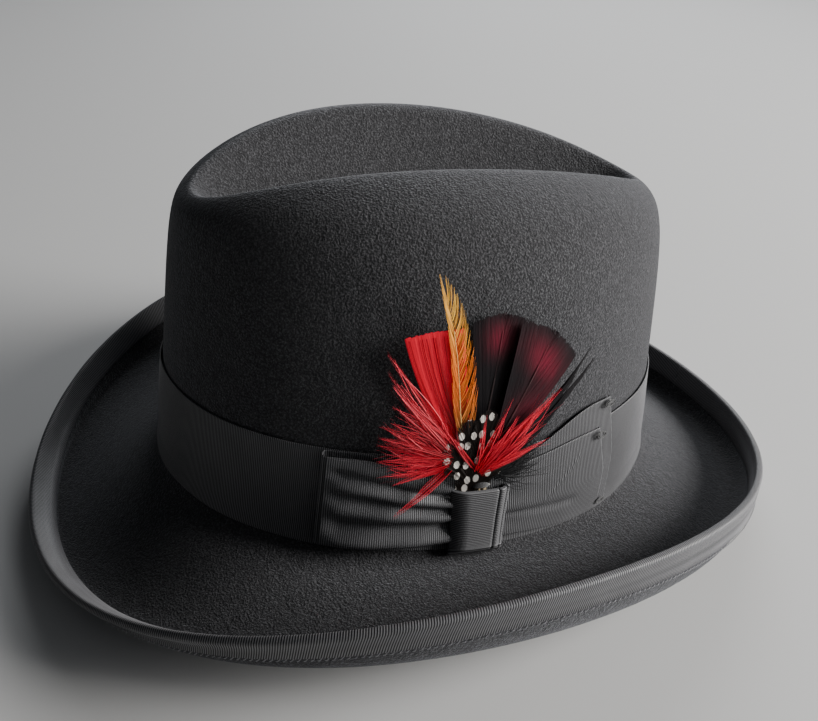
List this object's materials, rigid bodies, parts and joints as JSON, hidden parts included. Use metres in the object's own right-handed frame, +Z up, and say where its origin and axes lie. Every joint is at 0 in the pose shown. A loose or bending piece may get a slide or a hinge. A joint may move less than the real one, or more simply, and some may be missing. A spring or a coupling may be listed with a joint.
{
  "type": "felt homburg hat",
  "caption": "Stiff felt homburg hat with dented crown, curled bound brim, ribbon band with side bow and a removable feather spray.",
  "frame": {"origin": "centre of the bounding box on the table that the brim stands on", "axes": "+Z up, -Y to the front of the hat, +X to the wearer's left, where the bow and feathers are"},
  "size_m": [0.2818, 0.3174, 0.1543],
  "materials": {
    "felt": "matte",
    "grosgrain": "satin",
    "thread": "satin",
    "leather": "satin",
    "reed": "gloss",
    "satin": "gloss",
    "quill": "satin",
    "feather_yellow": "satin",
    "feather_red": "satin",
    "feather_dark": "satin",
    "feather_spotted": "satin"
  },
  "bodies": {
    "hat": {"felt_body": "felt", "ribbon_band": "grosgrain", "bow_front_loop": "grosgrain", "bow_rear_leaf": "grosgrain", "bow_rear_tail": "grosgrain", "bow_knot": "grosgrain", "bow_tack_threads": "thread", "brim_binding": "grosgrain", "binding_thread": "thread", "sweatband": "leather", "sweatband_reed": "reed", "sweatband_thread": "thread", "sweatband_seam_tape": "grosgrain", "sweatband_bow": "satin", "lining_side": "satin", "lining_tip": "satin", "lining_piping": "satin"},
    "feather_spray": {"feather_stem": "quill", "feather_tied_base": "thread", "feather_yellow": "feather_yellow", "feather_red_quill": "feather_red", "feather_dark_front": "feather_dark", "feather_dark_rear": "feather_dark", "feather_black_biot": "feather_dark", "hackle_red_front": "feather_red", "hackle_red_rear": "feather_red", "feather_guinea": "feather_spotted", "marabou_fluff": "feather_dark"}
  },
  "joints": [
    {"name": "feather_slide", "type": "slide", "parent": "hat", "child": "feather_spray", "axis": [-0.1134, 0.0566, 0.9919], "range_m": [0, 0.04]}
  ]
}
